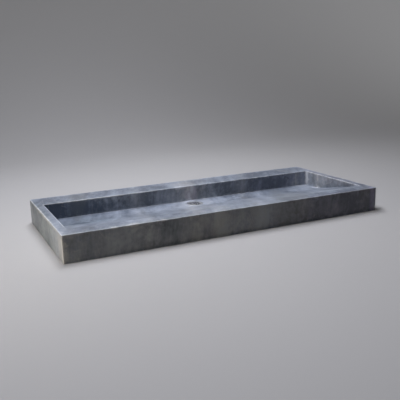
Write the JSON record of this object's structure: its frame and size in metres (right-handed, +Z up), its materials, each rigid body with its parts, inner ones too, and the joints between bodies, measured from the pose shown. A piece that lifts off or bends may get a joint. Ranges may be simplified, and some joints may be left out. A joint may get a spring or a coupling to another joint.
{
  "type": "washbasin",
  "caption": "Long low stone trough washbasin with a flat rim, a ramped floor and a push-open waste in a flat strip along its back wall.",
  "frame": {"origin": "middle of the block's underside", "axes": "+X along the length, left to right; -Y towards the user; +Z up"},
  "size_m": [1.205, 0.515, 0.09],
  "materials": {
    "marble": "honed, cloudy blue-grey with pale veins",
    "chrome": "polished",
    "rubber": "moulded, matt",
    "brass": "turned, unplated",
    "nickel": "nickel-plated, satin",
    "spring_steel": "drawn wire",
    "white_plastic": "moulded",
    "black_plastic": "moulded"
  },
  "bodies": {
    "basin": {"basin_block": "marble", "waste_body": "chrome", "flange_gasket": "rubber", "tapered_washer": "rubber", "slip_washer": "white_plastic", "backnut": "brass", "cartridge_sleeve": "nickel", "cartridge_washer": "white_plastic", "cartridge_nut": "brass", "cartridge_end_plug": "black_plastic", "return_spring": "spring_steel"},
    "plug": {"plug_cap": "chrome", "plug_seal": "rubber", "plug_stem": "brass", "plunger": "black_plastic"},
    "rotor": {"index_rotor": "white_plastic"}
  },
  "joints": [
    {"name": "plug_slide", "type": "slide", "parent": "basin", "child": "plug", "axis": [0, 0, 1], "range_m": [-0.0012, 0.006], "deforming": ["return_spring"]},
    {"name": "index_turn", "type": "hinge", "parent": "plug", "child": "rotor", "pos_m": [0, 0.095, 0.013], "axis": [0, 0, 1], "continuous": true}
  ]
}
